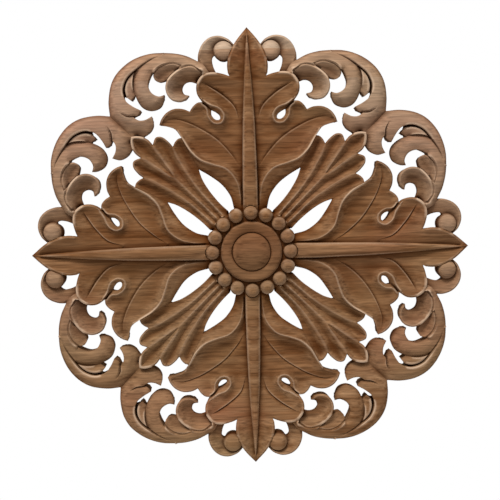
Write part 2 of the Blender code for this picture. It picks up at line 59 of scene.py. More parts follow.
def smooth(points, gap=POINT_GAP):
    """Evenly spaced points on the smooth curve through the given ones (centripetal Catmull-Rom)."""
    points = np.array(points, float)
    if len(points) > 2:
        ends = np.vstack([2 * points[0] - points[1], points, 2 * points[-1] - points[-2]])
        pieces = []
        for a, b, c, d in zip(ends, ends[1:], ends[2:], ends[3:]):
            knots = [0.0]
            for p, q in ((a, b), (b, c), (c, d)):
                knots.append(knots[-1] + math.sqrt(np.linalg.norm(q[:2] - p[:2])))
            count = max(2, int(TRACE_STEPS * np.linalg.norm(c[:2] - b[:2]) / gap))
            t = np.linspace(knots[1], knots[2], count, endpoint=False)[:, None]
            ab = (a * (knots[1] - t) + b * (t - knots[0])) / (knots[1] - knots[0])
            bc = (b * (knots[2] - t) + c * (t - knots[1])) / (knots[2] - knots[1])
            cd = (c * (knots[3] - t) + d * (t - knots[2])) / (knots[3] - knots[2])
            abc = (ab * (knots[2] - t) + bc * (t - knots[0])) / (knots[2] - knots[0])
            bcd = (bc * (knots[3] - t) + cd * (t - knots[1])) / (knots[3] - knots[1])
            pieces.append((abc * (knots[2] - t) + bcd * (t - knots[1])) / (knots[2] - knots[1]))
        points = np.vstack(pieces + [points[-1:]])
    run = np.concatenate([[0], np.cumsum(np.linalg.norm(np.diff(points[:, :2], axis=0), axis=1))])
    marks = np.linspace(0, run[-1], max(2, int(round(run[-1] / gap)) + 1))
    return np.column_stack([np.interp(marks, run, points[:, i]) for i in range(points.shape[1])])


def beside(curve, distance):
    """The curve moved to its left by a distance, its heights kept."""
    way = np.gradient(curve[:, :2], axis=0)
    way /= np.maximum(np.linalg.norm(way, axis=1), NEVER_ZERO)[:, None]
    moved = curve.copy()
    moved[:, 0] -= distance * way[:, 1]
    moved[:, 1] += distance * way[:, 0]
    return moved


def enclosed(points, starts, ends):
    """Which points lie inside closed rounds, given by the ends of their straight stretches."""
    x, y = points[:, 0][:, None], points[:, 1][:, None]
    rises = (starts[:, 1] > y) != (ends[:, 1] > y)
    drop = np.where(ends[:, 1] == starts[:, 1], 1, ends[:, 1] - starts[:, 1])
    crosses = x < (ends[:, 0] - starts[:, 0]) * (y - starts[:, 1]) / drop + starts[:, 0]
    return (rises & crosses).sum(axis=1) % 2 == 1


def inside(points, outline):
    """Which points lie in a closed outline."""
    return enclosed(points, outline, np.roll(outline, -1, axis=0))


def nearest(points, starts, ends):
    """The nearest straight stretch to each point.

    Given are how far it is, which it is, how far along it, and on which side of it the point lies.
    """
    found = []
    edge = (ends - starts)[:, :2]
    length = np.maximum((edge**2).sum(axis=1), NEVER_ZERO)
    for part in np.array_split(points[:, :2], max(1, len(points) // POINTS_AT_ONCE)):
        gap = part[:, None] - starts[None, :, :2]
        along = np.clip((gap * edge).sum(axis=2) / length, 0, 1)
        apart = np.linalg.norm(gap - along[:, :, None] * edge, axis=2)
        which = apart.argmin(axis=1)
        row = np.arange(len(part))
        side = edge[which, 0] * gap[row, which, 1] - edge[which, 1] * gap[row, which, 0]
        found.append(np.column_stack([apart[row, which], which, along[row, which], np.sign(side)]))
    distance, which, along, side = np.vstack(found).T
    return distance, which.astype(int), along, side


class Edge:
    """A stretch of a form's outline. A rim is a crest that far inside it, above the dropped edge.

    A moat is a groove cut round it in what lies below, that wide and that deep.
    """

    def __init__(self, *points, rim=0.0, drop=0.3, moat=0.0, depth=0.0):
        self.points = list(points)
        self.rim = rim
        self.drop = drop
        self.moat = moat
        self.depth = depth
        self.curve = None


class Under:
    """A stretch of a form's outline that lies hidden under its neighbours."""

    def __init__(self, *points):
        self.points = np.array([(x, y, 0.0) for x, y in points])


class Form:
    """One form of the carving: its outline, its crests, its hollows and the lines cut into it.

    Its wall stands on a foot that far outside the edge, and an edge without a rim is eased over
    that width. A rim's lines are given by the shares of its width and of its drop. Its crest wear and
    highlight says how pale its crests are painted, partly as sanding wear and partly as painted
    highlight.
    """

    WALL = 0.25
    EASE = 0.45
    RIM_LINES = ((0.4, 0.35), (1.0, 0.0))
    CLEAR = 0.93

    def __init__(self, outline, crests=(), hollows=(), cuts=(), hole=None, crest_wear_and_highlight=1.0):
        self.crest_wear_and_highlight = crest_wear_and_highlight
        self.edges = []
        ring = []
        last = []
        for stretch in outline:
            if isinstance(stretch, Under):
                ring.append(stretch.points)
                last = []
                continue
            stretch.curve = smooth(last + stretch.points)
            last = stretch.points[-1:]
            self.edges.append(stretch)
            ring.append(stretch.curve)
        self.outline = np.vstack(ring)
        self.hole = None
        if hole:
            hole.curve = smooth(hole.points)
            self.edges.append(hole)
            self.hole = hole.curve
        self.crests = [smooth(line) for line in crests]
        self.hollows = [smooth(line) for line in hollows]
        self.cuts = cuts
        self.lay_rims()

    def rounds(self):
        """The closed lines of the form: its outline, and its hole if it has one."""
        return [self.outline] + ([self.hole] if self.hole is not None else [])

    def covers(self, points):
        """Which points the form covers, its own edge taken in."""
        low = self.outline[:, :2].min(axis=0) - MARGIN
        high = self.outline[:, :2].max(axis=0) + MARGIN
        found = ((points >= low) & (points <= high)).all(axis=1)
        near = points[found]
        if not len(near):
            return found
        covered = inside(near, self.outline)
        for i, ring in enumerate(self.rounds()):
            on = nearest(near, ring, np.roll(ring, -1, axis=0))[0] < TOUCH
            covered = (covered | on) if i == 0 else (covered & (~inside(near, ring) | on))
        found[found] = covered
        return found

    def within(self, curve, distance, side):
        """The curve moved to one side, left out where it comes too near another edge."""
        moved = beside(curve, side * distance)
        clear = np.full(len(moved), True)
        for ring in self.rounds():
            clear &= nearest(moved, ring, np.roll(ring, -1, axis=0))[0] > self.CLEAR * distance
        cuts = np.flatnonzero(np.diff(clear)) + 1
        return [run for run, kept in zip(np.split(moved, cuts), np.split(clear, cuts))
                if kept[0] and len(run) > 1]

    def lay_rims(self):
        """The lines beside the edges: those of a rim, where an eased edge ends, and the foot outside."""
        self.held = []
        self.eased = []
        self.feet = []
        for edge in self.edges:
            ring = self.hole if edge.curve is self.hole else self.outline
            ahead = np.roll(ring[:, :2], -1, axis=0)
            area = (ring[:, 0] * ahead[:, 1] - ahead[:, 0] * ring[:, 1]).sum()
            side = np.sign(area) * (-1 if edge.curve is self.hole else 1)
            if edge.rim:
                for share, kept in self.RIM_LINES:
                    for line in self.within(edge.curve, share * edge.rim, side):
                        self.held.append(line - (0, 0, kept * edge.drop))
            else:
                self.eased += self.within(edge.curve, self.EASE, side)
            self.feet += self.within(edge.curve, self.WALL, -side)
            if edge.moat:
                self.feet += self.within(edge.curve, edge.moat, -side)


def carve(form):
    """Lay a form over the ones that are there."""
    carving.append(form)


carve(Form(
    [Edge((33, 127.4, 8.8), (32.7, 132, 10.2), (30.2, 138.2, 10.8), (25.4, 142.6, 10.8),
          (19, 144, 10.6), (12.6, 142, 10), (8.6, 138.2, 9.4), rim=1.2, drop=0.9),
     Under((10, 133), (15, 130.6), (19, 131.4)),
     Edge((21.8, 131.9, 7.8), (23.4, 129.4, 7.6), (22.9, 124.5, 7.6), (20.7, 119.4, 8)),
     Under((24, 117), (30, 117.5), (33, 122))],
    hollows=[[(13.6, 141, 9.3), (17.5, 140.9, 8.5), (21.2, 138.6, 8), (22.9, 135, 7.7),
              (22.6, 132.6, 7.7)]],
    crests=[[(31.4, 128.6, 9.6), (28, 123, 8.8)]],
))


# The ball in the eye of each small scroll, left standing when the stem was gouged out, and
# rounded over with a flat gouge.
EIGHTHS = 8


class Turned(Form):
    """A round form. Its profile is a list of curves of (radius, height), with corners between them."""

    PROFILE_GAP = 0.1
    crest_wear_and_highlight = 0.5

    def __init__(self, centre, profile, rings=()):
        self.centre = np.array(centre, float)
        strokes = [smooth([(r, z, 0) for r, z in stroke], self.PROFILE_GAP) for stroke in profile]
        self.profile = np.vstack(strokes)
        corners = [stroke[-1][0] for stroke in profile]
        self.hole = None
        self.edges = []
        self.outline = self.ring(corners[-1])
        self.crests = [self.ring(r) for r in corners[:-1] + list(rings)]
        self.crests = [np.vstack([ring, ring[:1]]) for ring in self.crests]
        self.hollows = []
        self.cuts = ()
        self.held = []
        self.eased = []
        foot = self.ring(corners[-1] + self.WALL)
        self.feet = [np.vstack([foot, foot[:1]])]

    def ring(self, radius):
        """Points round the centre, as many in each eighth of the turn."""
        count = EIGHTHS * max(2, round(2 * math.pi * radius / POINT_GAP / EIGHTHS))
        turns = np.arange(count) * 2 * math.pi / count
        x, y = self.centre
        return np.column_stack([x + radius * np.cos(turns), y + radius * np.sin(turns), np.zeros(count)])

    def height(self, points):
        """The height of the profile at each point."""
        radius = np.linalg.norm(points - self.centre, axis=1)
        return np.interp(radius, self.profile[:, 0], self.profile[:, 1])


def round_cap(radius, foot, top, steps=6):
    """The profile of a round cap, from its pole to its foot."""
    turns = [math.radians(90 * i / steps) for i in range(steps + 1)]
    return [(radius * math.sin(a), foot + (top - foot) * math.cos(a)) for a in turns]


BALL_CENTRE = (15.7, 134.2)
BALL_RADIUS = 6.8
carve(Turned(BALL_CENTRE, [round_cap(BALL_RADIUS, 8.2, 13.2)], rings=(5.9, 4.8)))


# The narrow leaf between the two bands, its right side a thin high rim beside a deep
# gutter, the lowest floor that is left between the bands.
GUTTER = 7.6
carve(Form(
    [Edge((86, 106, GUTTER), (83, 105.6, GUTTER), (81.4, 104.8, GUTTER), (79, 105, GUTTER)),
     Under((75, 108), (69, 125), (80, 121), (86, 114))],
))
carve(Form(
    [Edge((71, 124, 10.6), (76.2, 120.6, 11.6), (80.2, 115, 12.2), (81.6, 109.6, 12.2),
          (81.2, 106.4, 12), (80.8, 104.6, 11.6), rim=1.1, drop=0.9),
     Edge((78, 102.4, 10.8)),
     Edge((76.2, 104.6, 10), (74, 107.4, 9.8)),
     Under((72, 112), (70, 122))],
    hollows=[[(75.9, 106.4, 9.9), (76.1, 111, 9.6), (74.8, 117, 9.8), (72.4, 121.6, 10.4)]],
))


# The inner band: a rounded band that runs from the scroll's root round to a curled end,
# with a thin sanded rim along its inner side.
carve(Form(
    [Edge((26, 120.4, 9.8), (29, 125, 9.8), (32.8, 127.6, 9)),
     Edge((40, 131, 9.6), (48, 133, 9.6), (56, 133.6, 9.8)),
     Edge((66, 130.6, 10.2), (73, 124.5, 10.4), (76, 117.5, 9.8), (76.2, 109.5, 9.6),
          (73.4, 101.2, 8.8), (69.9, 97.2, 8.2), (64.4, 95.6, 7.8), (58.6, 97.8, 7.6), (56, 102.6, 8.4),
          (55.9, 106.3, 9)),
     Edge((59.5, 105.1, 10.6), (64.2, 107.4, 11.8), (66.2, 112.6, 12.2), (65, 117, 12.2),
          (63.4, 120.2, 12.2), rim=1.2, drop=0.8),
     Under((60, 121), (54, 122), (42, 121), (32, 119), (28, 118))],
    hollows=[[(30, 123.6, 11.4), (42, 127, 12.6), (56, 127.8, 13), (64.5, 124.2, 13),
              (69, 117.5, 13), (70, 110.5, 12.8), (67.6, 104, 12), (61.6, 101.8, 10.8)],
             [(34, 125.8, 11.4), (46, 130.6, 12.2), (57, 131.2, 12.2), (66, 127.6, 12.2),
              (72.6, 119, 12), (73.2, 109.5, 11.6), (70.4, 102.4, 10.8), (64.6, 99, 9.8),
              (59.4, 100.4, 9.2)]],
    crest_wear_and_highlight=0.7,
))


# The short hollow leaf under the band: scooped out behind a thin rim, with a narrow groove
# cut between the rim and the band.
carve(Form(
    [Edge((44, 124.9, 12.4), (50, 126.2, 12.4), (56.4, 124.8, 12.2), (60.6, 121.9, 11.8),
          (62.7, 118.6, 11.2), (61.8, 115.8, 10.6), rim=0.9, drop=0.5, moat=0.9, depth=1.6),
     Edge((59.4, 114.3, 9.8), (56.6, 114.6, 9), (53.8, 115.4, 8.4)),
     Under((49, 118))],
    hollows=[[(47.6, 123.4, 10.6), (52, 121.6, 9.8), (56, 119.6, 9.3), (58.8, 117.2, 9.2)],
             [(49.6, 121.2, 10.2), (53.2, 117.8, 9.6), (55.4, 115, 9)]],
))


# The hollow leaf that hooks back over the opening: scooped deep, with a thin high rim on its
# outer side and a groove cut along it.
carve(Form(
    [Edge((30.4, 120.8, 10.8), (36, 124.1, 12.2), (41, 124.2, 12.4), (47.6, 121.3, 12.6),
          (53.4, 115.6, 12.6), (54.9, 110, 12.2), (53.5, 105, 11.6), (50.2, 101.8, 11),
          (45.4, 101.1, 10.2), (41.4, 102.8, 9.2), (39.3, 105.4, 8.4),
          rim=1.1, drop=0.6, moat=0.8, depth=1.0),
     Edge((42.8, 106.6, 6.6), (43.9, 109.6, 6.2), (42.2, 113.2, 6.2), (38.4, 114.5, 6.4),
          (34, 113.2, 7)),
     Under((30, 115))],
    hollows=[[(36.6, 119, 8.6), (42.6, 118, 8.2), (48.2, 113.4, 8.2), (49.4, 108.4, 8.2),
              (46, 105.2, 8.4)]],
))


# The outer band: broad and rounded down outwards to the rim of the piece, highest along its
# inner edge. At its inner end two lobes part, and it meets its mirror image in a valley.
carve(Form(
    [Edge((70.4, 78.2, 8.6), (65.6, 81.7, 8.8), (63.3, 86.6, 9.6), (64.6, 92, 10.6)),
     Edge((69, 89.6, 11.8), (73, 89.3, 12.4), (76.6, 91.3, 11.8), rim=0.8, drop=0.4),
     Edge((73.6, 92.8, 11.2), (71.6, 95.8, 11)),
     Edge((77, 98.6, 12.8), (81.2, 102.2, 13.4), (83.2, 109, 13.6), (80.4, 116.8, 13.6),
          (73.4, 123.2, 13.4), (65, 128.6, 12.5), (60.5, 130.4, 12.1), (56.6, 131.6, 11.8),
          moat=1.3, depth=1.1),
     Edge((55.4, 133.58, 9.7)),
     Edge((64, 133.2, 9.6), (72, 131.1, 9.6), (80, 127, 9.6), (87, 120.6, 9.6),
          (91.4, 112.6, 9.6), (93.2, 102, 9.6), (92.7, 92.7, 9.2)),
     Under((93.5, 91.5), (78, 76), (72, 76.4))],
    crests=[[(92.7, 92.7, 9.2), (86, 86, 9.4), (79, 79, 9.4)]],
    hollows=[[(74.4, 96, 12.2), (80, 97.6, 13.4), (85.6, 103, 13.6), (86.4, 111, 13.6),
              (82, 119.6, 13.6), (74, 125.4, 13.2), (66, 129.4, 12.4), (59, 131.8, 11.6)],
             [(66, 88.6, 11), (71, 86.2, 12), (77, 87, 12.6), (83.4, 90.4, 12.6), (89, 96, 12.2),
              (90.6, 103, 12), (89, 111.6, 12), (85, 119, 12), (78.6, 125, 12), (71, 129.4, 11.8),
              (63, 132, 11), (58, 132.8, 10.6)],
             [(67.4, 79.8, 9), (71, 80.8, 9.6), (75, 81.4, 9.6)]],
    cuts=[([(75.8, 91.9, 1.8), (80.6, 91.8, 2), (86, 94.6, 0)], 1.6, 0.5)],
    crest_wear_and_highlight=0.5,
))
# The forms so far are the scrolls, which get a painted highlight on their raised parts
# that grows towards the top of the piece.
SCROLL_FORMS = len(carving)


# The fan of fluted fingers between two leaves: a ridge from the boss that parts round the
# hollow middle finger, a ridge on each side of it, and gouged flutes between the ridges.
DIAGONAL = math.sqrt(0.5)


def from_diagonal(along, across, height):
    """A point given by its distance along the diagonal and its distance to the left of it."""
    return ((along - across) * DIAGONAL, (along + across) * DIAGONAL, height)


def leaf_to_fan():
    """The crease where the leaf's folded side meets the outer finger."""
    return [(45.2, 77.4, 12.2), (42.2, 70.6, 10.6), (38.4, 63.6, 9.8), (34.4, 56, 9.2)]


fan_ridges = [
    [(30, 0, 14), (42, 0, 13.2), (58, 0, 12.6), (69, 0, 12.4)],
    [(69, 0, 12.4), (74, 0.9, 12.4), (79, 1.9, 12.5), (86, 3.2, 12.6), (93, 4.6, 12.6), (97.2, 6, 12.2)],
    [(30, 4.2, 13.8), (42, 4.7, 13), (52, 5.2, 12.5), (64, 7.1, 12.2), (73, 9.2, 12), (82, 11.9, 11.8),
     (86.9, 14.5, 11.4)],
]
fan_flutes = [
    [(74, 0, 11.6), (80, 0, 10.9), (88, 0, 10), (97, 0, 9.4), (104, 0, 9.4), (108, 0, 10.4)],
    [(30, 2.1, 12.2), (42, 2.4, 11.4), (54, 2.8, 10.8), (64, 3.8, 10.2), (76, 5.9, 9.4), (88, 9.1, 9),
     (94, 10.8, 9.2), (97, 12, 9.8)],
    [(30, 6.2, 12), (40, 6.7, 11.2), (49, 7.5, 10.6), (61, 10.4, 9.8), (73, 14, 9), (81, 17.6, 8.8),
     (85, 19.4, 9.4)],
]
carve(Form(
    [Edge((15.2, 27.7, 12), (21, 33.4, 11.4), (28, 42.4, 10.6), (32.4, 50, 10), (34.4, 56, 9.2)),
     Edge(*leaf_to_fan()[-2::-1]),
     Edge((47.6, 76.8, 11.2), (49.8, 74.6, 11), (51.2, 71.7, 11.2), rim=0.9, drop=0.5),
     Edge((53.8, 74.8, 11.2), (58.6, 78.2, 11.2), (62.4, 77.8, 11.4), (64.5, 73, 12), rim=0.9, drop=0.5),
     Edge((67.2, 76.2, 12.6), (71, 78.3, 12.8), (75, 79, 12.9), (78.6, 78.6, 12.8), rim=1.1, drop=0.6),
     Under((80, 77), (17, 17), (14, 24))],
    hollows=[[from_diagonal(*p) for p in line] for line in fan_ridges + fan_flutes],
))


# The big acanthus leaf on each rib: a hollow spear, a round shoulder, an eye with a rolled
# rim, a small lobe, a pointed lobe, and a side folded down to the opening by the fan.
REACH = 150.0
FOLD = [(6.6, 29, 12), (6.9, 40, 12.8), (9.6, 49, 13.6), (16, 56.1, 14.2), (25, 59.3, 14.2),
        (33, 62.5, 14.2), (39.6, 68.6, 14), (44, 75.6, 13.8), (47.4, 81.6, 13.4)]
BESIDE_RIB = [(5.4, 32, 11), (5.5, 50, 10.8), (5.1, 80, 10.2), (3.6, 105, 9.8), (2.2, 128, 9),
              (0.7, 143, 7.6)]
UNDER_FOLD = [(5.6, 44, 11.4), (7, 51.6, 10.9), (13, 58.6, 10.8), (24, 62.4, 10.8), (31.6, 65.6, 10.8),
              (37.2, 70.8, 10.9), (41.4, 77.4, 11)]
LOWER_VEIN = [(6.2, 57, 11), (11, 64.8, 10), (20, 75, 9.4), (30, 82.2, 9.2), (42, 88, 9.6),
              (50, 89.8, 10.2), (56.5, 88.6, 11)]
UPPER_VEIN = [(5.6, 87, 10.4), (9, 97.4, 9.8), (17, 105.4, 9.4), (25, 110.7, 10), (30, 113.4, 11)]
EYE_RIM = [(31.4, 103, 12.2), (26, 98.9, 12.4), (19.6, 96.4, 12.4), (16.3, 91.6, 12.4),
           (18, 87, 12.2), (23, 86.6, 12), (27, 91.3, 11.8), (27.8, 96.6, 11.8), (31.6, 99.9, 11.8)]
EYE_FOOT = [(20, 99.4, 9.8), (13.4, 93.6, 9.8), (14.8, 84.8, 9.4), (23.6, 82.6, 9.2), (30.4, 88, 9.2),
            (31, 95, 9.6)]
SLIT = [(24.8, 95.3, 9.4), (27.6, 98.2, 8.6), (30.9, 100.5, 8.6)]
carve(Form(
    [Edge((0, REACH, 7), (8.3, 139, 11.4), (12.3, 130.6, 12.6), (13.6, 124, 12.8), (13.2, 119.2, 12),
          rim=1.4, drop=1.0),
     Edge((12.3, 117.4, 11)),
     Edge((16.4, 118.8, 11.8), (24, 119.9, 13), (30.2, 118, 13.2), (34, 112.4, 13), (34, 106, 12.4),
          (30.8, 100.8, 11.4), rim=1.3, drop=0.8),
     Edge((34.2, 100.3, 11.4), (37.2, 97.8, 11.4), (39.3, 94.8, 10.8), rim=1.0, drop=0.6),
     Edge((43.5, 96.4, 11.6), (49.6, 96.4, 12.4), (54.8, 93.8, 12.8), (58.2, 89.6, 12.6), (59.6, 86, 12),
          rim=1.1, drop=0.7),
     Edge((54.2, 84.8, 12), (49.2, 82.8, 12.4), (45.2, 77.4, 12.2)),
     Edge(*leaf_to_fan()[1:]),
     Edge((26.6, 51.4, 9.4), (19, 45.6, 9.4), (13.4, 37.4, 9.6), (11.3, 29.4, 9.8)),
     Under((9, 22), (0, 22))],
    crests=[FOLD, EYE_RIM, SLIT],
    hollows=[LOWER_VEIN, UPPER_VEIN, BESIDE_RIB, EYE_FOOT, UNDER_FOLD],
    cuts=[([(p[0], p[1], d) for p, d in zip(LOWER_VEIN, (0, 0.8, 1, 1, 0.9, 0.7, 0))], 2.4, 0.45),
          ([(p[0], p[1], d) for p, d in zip(UPPER_VEIN, (0, 1, 1.3, 1.2, 0))], 2.4, 0.45)],
    hole=Edge((24.8, 95.3, 9.8), (24.6, 91.9, 10), (21.9, 89, 10.2), (19.2, 89.2, 10.2),
              (19.3, 91.4, 10.2), (21.8, 93.7, 10), (24.8, 95.3, 9.8)),
))


# The round-topped rib that runs up the middle of each leaf to its tip, standing above the
# leaf by the depth of the gouge on each side.
carve(Form(
    [Edge((5, 24, 13.8), (4.9, 34, 14.4), (4.8, 50, 15), (4.1, 82, 14), (3.2, 103, 12.6),
          (1.8, 126, 11), (0.7, 141, 9.4), (0, 149, 7.6), drop=0.7),
     Under((0, 24))],
    hollows=[[(0, 24, 14.5), (0, 32, 15.3), (0, 50, 17), (0, 80, 16), (0, 100, 14.6), (0, 120, 12.8),
              (0, 136, 11), (0, 149, 8)],
             [(2.8, 24, 14.4), (2.8, 32, 15.1), (2.8, 50, 16.4), (2.4, 80, 15.5), (1.8, 102, 14),
              (1, 124, 12)]],
    crest_wear_and_highlight=0.4,
))


# The boss: a low dome, a dished ring round it, and a flat seat for the beads, all cut
# from the same blank. It is coloured a little darker and duller than the leaves.
SEAT_RADIUS = 27.8
SEAT_HEIGHT = 13.8
carve(Turned((0, 0), [[(0, SEAT_HEIGHT), (SEAT_RADIUS, SEAT_HEIGHT)]]))
carve(Turned((0, 0), [
    [(0, 19.98), (4, 19.75), (8, 18.8), (10.8, 17.6), (12.5, 16.5)],
    [(12.5, 16.5), (13, 15.1)],
    [(13, 15.1), (13.5, 16.2)],
    [(13.5, 16.2), (15, 16.8), (17, 17.2), (18.6, 17.2), (19.8, 16.7), (20.6, 15.6), (20.9, 14.2)],
], rings=(19.4, 20.4)))
BOSS_FORM = len(carving) - 1


# The ring of sixteen beads on the seat round the boss, each with the small flat left by
# the gouge on its top. Three of them reach into the eighth.
BEADS = 16
BEADS_IN_EIGHTH = 3
BEAD_RING = 26.3
BEAD_RADIUS = 5.0
BEAD_TOP = 19.2
BEAD_PROFILE = [[(0, BEAD_TOP - 0.35), (0.9, BEAD_TOP - 0.1), (1.6, BEAD_TOP - 0.15), (2.7, 18.5),
                 (3.9, 17.2), (4.75, 15.4), (BEAD_RADIUS, SEAT_HEIGHT)]]
for i in range(BEADS_IN_EIGHTH):
    turn = math.radians(90 - i * 360 / BEADS)
    centre = (BEAD_RING * math.cos(turn), BEAD_RING * math.sin(turn))
    carve(Turned(centre, BEAD_PROFILE, rings=(4.4, 3.5, 2.3, 1.2)))


# Cutting the eighth out: every line that shows is laid out flat with points between the
# lines, joined up into triangles, and given its height form by form.
FINE_GRID = 1.02
COARSE_GRID = 1.55
NEAR_LINE = 3.0
ON_MIRROR = 0.002
PAST_MIRROR = 1.0


def in_eighth(points, slack=ON_MIRROR):
    """Which points lie between the rib and the diagonal, or no further outside than the slack."""
    return (points[:, 0] > -slack) & (points[:, 1] > points[:, 0] - slack)


def covered_by(points, forms):
    """Which points at least one of the forms covers."""
    found = np.zeros(len(points), bool)
    for form in forms:
        found |= form.covers(points)
    return found


def layer_of(points):
    """The topmost form at each point, or -1 where there is none."""
    top = np.full(len(points), -1)
    for i, form in enumerate(carving):
        top[form.covers(points)] = i
    return top


def stretches_of(line, shown):
    """The straight stretches of a line with an end that shows."""
    kept = shown[:-1] | shown[1:]
    return line[:-1, :2][kept], line[1:, :2][kept]


def drawn_lines():
    """The straight stretches of all lines that show: of a form itself, and of its wall's foot."""
    found = []
    for level, form in enumerate(carving):
        above, below = carving[level + 1:], carving[:level]
        own = [np.vstack([ring, ring[:1]]) for ring in form.rounds()]
        own += form.held + form.eased + form.crests + form.hollows
        for points, left, right in form.cuts:
            line = smooth(points)
            own += [line, beside(line, left), beside(line, -right)]
        for line in own:
            flat = line[:, :2]
            found.append(stretches_of(line, form.covers(flat) & ~covered_by(flat, above)))
        for line in form.feet:
            flat = line[:, :2]
            shown = ~form.covers(flat) & ~covered_by(flat, above) & covered_by(flat, below)
            found.append(stretches_of(line, shown))
    starts, ends = (np.vstack(stretches) for stretches in zip(*found))
    kept = in_eighth(starts, PAST_MIRROR) & in_eighth(ends, PAST_MIRROR)
    return starts[kept], ends[kept]


def mirror_line(way):
    """Points along a mirror line of the eighth."""
    count = int(REACH / FINE_GRID) + 1
    return np.linspace(0, 1, count)[:, None] * way


# Shares of a grid's gap: the nearest that a point may lie to a line and to a mirror line,
# and how far apart the rows are.
NEAREST = 0.62
FROM_MIRROR = 0.35
ROW_GAP = math.sqrt(0.75)


def filling(starts, ends):
    """Points between the lines, close together near them and wider apart on the open surfaces."""
    tree = KDTree(2 * len(starts))
    for i, (x, y) in enumerate(np.vstack([starts, ends])):
        tree.insert((x, y, 0), i)
    tree.balance()
    found = []
    for gap, least, most in ((FINE_GRID, NEAREST * FINE_GRID, NEAR_LINE),
                             (COARSE_GRID, NEAR_LINE, REACH)):
        rows = np.arange(0, REACH, gap * ROW_GAP)
        points = np.array([(x + (i % 2) * gap / 2, y) for i, y in enumerate(rows)
                           for x in np.arange(0, REACH * DIAGONAL, gap)])
        points = points[in_eighth(points, -FROM_MIRROR * gap)]
        points = points[covered_by(points, carving)]
        apart = np.array([tree.find((x, y, 0))[2] for x, y in points])
        found.append(points[(apart > least) & (apart <= most)])
    return np.vstack(found)


SAME_POINT = 0.02
SLIVER = 0.0001


def flat_eighth():
    """Points and triangles of the eighth, seen flat."""
    starts, ends = drawn_lines()
    up = mirror_line(np.array([0.0, REACH]))
    slant = mirror_line(np.full(2, REACH * DIAGONAL))
    starts = np.vstack([starts, up[:-1], slant[:-1]])
    ends = np.vstack([ends, up[1:], slant[1:]])
    loose = filling(starts, ends)
    points = [Vector(p) for p in np.vstack([starts, ends, loose])]
    edges = [(i, i + len(starts)) for i in range(len(starts))]
    found = delaunay_2d_cdt(points, edges, [], 0, SAME_POINT)
    flat = np.array([tuple(p) for p in found[0]])
    faces = np.array([tuple(f) for f in found[2]])
    middles = flat[faces].mean(axis=1)
    faces = faces[in_eighth(middles, -SLIVER)]
    middles = flat[faces].mean(axis=1)
    faces = faces[covered_by(middles, carving)]
    used, faces = np.unique(faces, return_inverse=True)
    flat, faces = flat[used], faces.reshape(-1, 3)
    flat[np.abs(flat[:, 0]) < ON_MIRROR, 0] = 0
    near = np.abs(flat[:, 1] - flat[:, 0]) < ON_MIRROR
    flat[near] = flat[near].mean(axis=1)[:, None]
    return flat, faces


# Limits that keep thin slivers of triangles from pulling without end.
LEAST_CROSS = 1e-6
COTANGENTS = (-4, 12)


def stiffness(flat, faces):
    """How strongly joined points pull together (cotangent weights), and the area of each point."""
    first, second, pull = [], [], []
    area = np.zeros(len(flat))
    for i in range(3):
        a, b, c = faces[:, i], faces[:, (i + 1) % 3], faces[:, (i + 2) % 3]
        u, v = flat[a] - flat[c], flat[b] - flat[c]
        cross = np.maximum(np.abs(u[:, 0] * v[:, 1] - u[:, 1] * v[:, 0]), LEAST_CROSS)
        weight = np.clip((u * v).sum(axis=1) / cross, *COTANGENTS) / 2
        first += [a, b]
        second += [b, a]
        pull += [weight, weight]
        area += np.bincount(c, cross / 6, len(flat))
    return np.concatenate(first), np.concatenate(second), np.concatenate(pull), area


# The bending is worked out in rounds, until what is out of balance has shrunk this far.
MOST_ROUNDS = 4000
BALANCED = 1e-9


def settled(height, force, diagonal, load=0.0):
    """Heights at which a force, linear in them, balances a load (conjugate gradients)."""
    rest = load - force(height)
    eased = rest / diagonal
    way = eased.copy()
    size = rest @ eased
    goal = size * BALANCED
    for _ in range(MOST_ROUNDS):
        pushed = force(way)
        step = size / max(way @ pushed, NEVER_ZERO)
        height = height + step * way
        rest = rest - step * pushed
        eased = rest / diagonal
        fresh = rest @ eased
        if fresh < goal:
            break
        way = eased + fresh / size * way
        size = fresh
    return height


# A little tension beside the bending keeps the sheet from waving between its lines.
TENSION = 0.01
LEAST_TENSION = 0.001
LEAST_AREA = 0.001
LEAST_PULL = 1e-6
EDGE_REACH = 0.3


